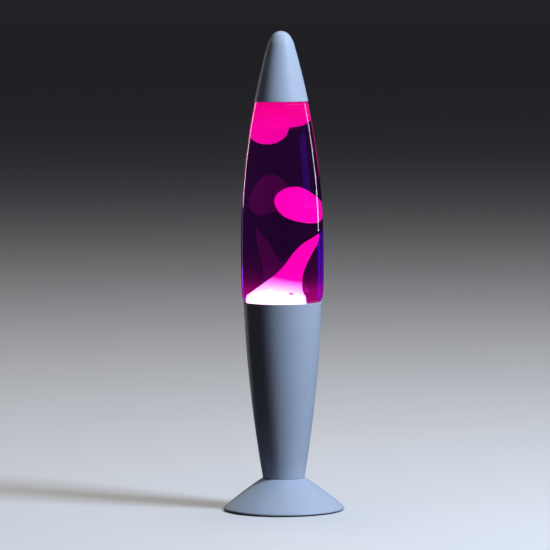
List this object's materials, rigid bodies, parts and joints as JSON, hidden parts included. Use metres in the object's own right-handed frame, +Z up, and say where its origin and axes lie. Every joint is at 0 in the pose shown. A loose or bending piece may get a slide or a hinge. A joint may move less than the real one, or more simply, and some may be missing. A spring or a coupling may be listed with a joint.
{
  "type": "lava lamp",
  "caption": "Rocket-shaped lava lamp: tapered glass bottle of liquid and wax between a painted cone cap and a tapered sleeve on a spun cone foot, with a reflector bulb inside.",
  "frame": {"origin": "centre of the foot's underside, on the table", "axes": "+Z up along the lamp's axis, -Y towards the viewer, cord gland at the back (+Y)"},
  "size_m": [0.0878, 0.0878, 0.348],
  "materials": {
    "paint": "satin",
    "foam": "matte",
    "steel": "satin",
    "bush": "satin",
    "zinc": "satin",
    "holder": "satin",
    "core": "matte",
    "brass": "satin",
    "solder": "satin",
    "black_glass": "gloss",
    "bulb_metal": "satin",
    "bulb_glass": "gloss",
    "clear_glass": "gloss",
    "wire": "satin",
    "violet_liquid": "gloss",
    "wax": "satin",
    "tinplate": "gloss",
    "liner": "matte"
  },
  "bodies": {
    "base": {"base_pad": "foam", "base_plate": "steel", "foot": "paint", "cord_gland": "bush", "threaded_tube": "zinc", "flat_washer": "zinc", "hex_nut": "zinc", "sleeve": "paint", "lock_washer": "zinc", "holder_dome": "holder", "holder_core": "core", "holder_skirt": "holder", "screw_shell": "brass", "centre_contact": "brass", "terminal_screws": "brass"},
    "bulb": {"bulb_contact": "solder", "bulb_insulator": "black_glass", "bulb_cap": "bulb_metal", "bulb_envelope": "bulb_glass", "bulb_stem": "clear_glass", "bulb_leads": "wire", "bulb_filament": "wire"},
    "bottle": {"bottle_glass": "clear_glass", "liquid": "violet_liquid", "wax_pool": "wax", "wax_top": "wax", "wire_coil": "wire", "crown_cap": "tinplate", "crown_liner": "liner"},
    "blob": {"wax_blob": "wax"},
    "cap": {"cap_cone": "paint"}
  },
  "joints": [
    {"name": "bottle_lift", "type": "slide", "parent": "base", "child": "bottle", "axis": [0, 0, 1], "range_m": [0, 0.06]},
    {"name": "cap_lift", "type": "slide", "parent": "bottle", "child": "cap", "axis": [0, 0, 1], "range_m": [0, 0.06]},
    {"name": "bulb_turn", "type": "hinge", "parent": "base", "child": "bulb", "pos_m": [0, 0, 0.049], "axis": [0, 0, 1], "range_deg": [0, 1260]},
    {"name": "wax_blob_rise", "type": "slide", "parent": "bottle", "child": "blob", "axis": [-0.12, 0, 0.9928], "range_m": [0, 0.022], "deforming": ["liquid"]}
  ]
}
